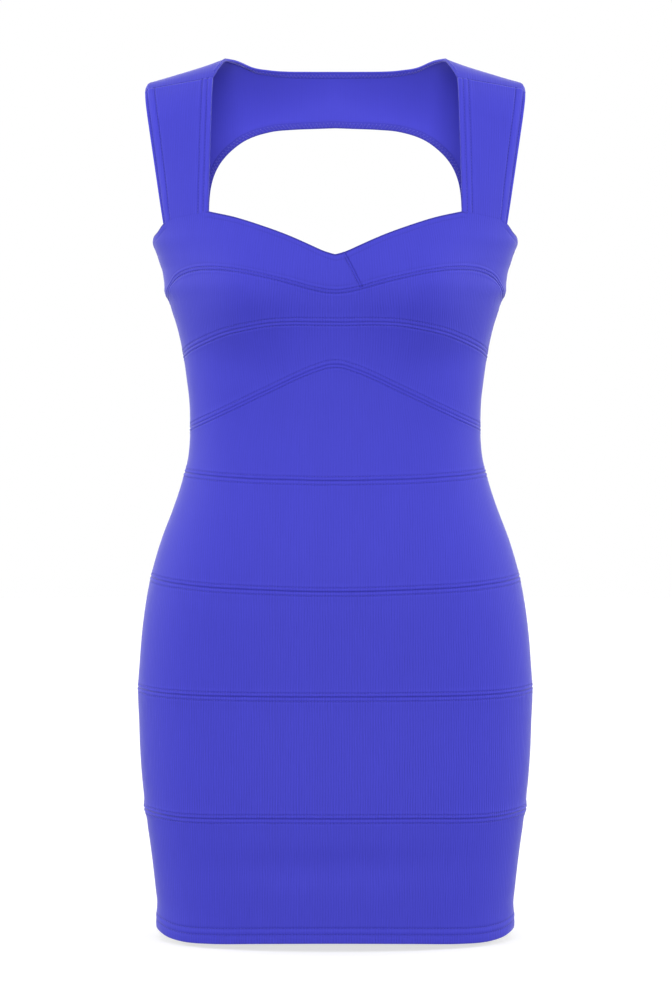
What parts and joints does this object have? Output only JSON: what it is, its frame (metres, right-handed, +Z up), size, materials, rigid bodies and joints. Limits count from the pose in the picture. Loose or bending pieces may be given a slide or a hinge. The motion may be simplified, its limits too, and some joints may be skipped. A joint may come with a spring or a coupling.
{
  "type": "bodycon dress",
  "caption": "Fitted sleeveless mini dress of ribbed knit bands with wide straps, a sweetheart neck and a cut-out back, filled out as worn with no wearer.",
  "frame": {"origin": "Midway between the straps on the plane of the side seams, level with the top of the shoulder ridge at the middle of each strap's width.", "axes": "+Z up, -Y out of the front of the dress, +X to the wearer's left"},
  "size_m": [0.3556, 0.2302, 0.7866],
  "materials": {
    "ribbed_knit": "ribbed elastic knit in royal blue, matt with a soft sheen"
  },
  "bodies": {
    "root": {"strap_right": "ribbed_knit", "strap_left": "ribbed_knit", "cup_band_right": "ribbed_knit", "cup_band_left": "ribbed_knit", "bust_band_front": "ribbed_knit", "underbust_band_front": "ribbed_knit", "waist_band_front": "ribbed_knit", "upper_hip_band_front": "ribbed_knit", "hip_band_front": "ribbed_knit", "thigh_band_front": "ribbed_knit", "hem_band_front": "ribbed_knit", "back_yoke": "ribbed_knit", "back_top_band": "ribbed_knit", "bust_band_back": "ribbed_knit", "underbust_band_back": "ribbed_knit", "waist_band_back": "ribbed_knit", "upper_hip_band_back": "ribbed_knit", "hip_band_back": "ribbed_knit", "thigh_band_back": "ribbed_knit", "hem_band_back": "ribbed_knit"}
  },
  "joints": []
}
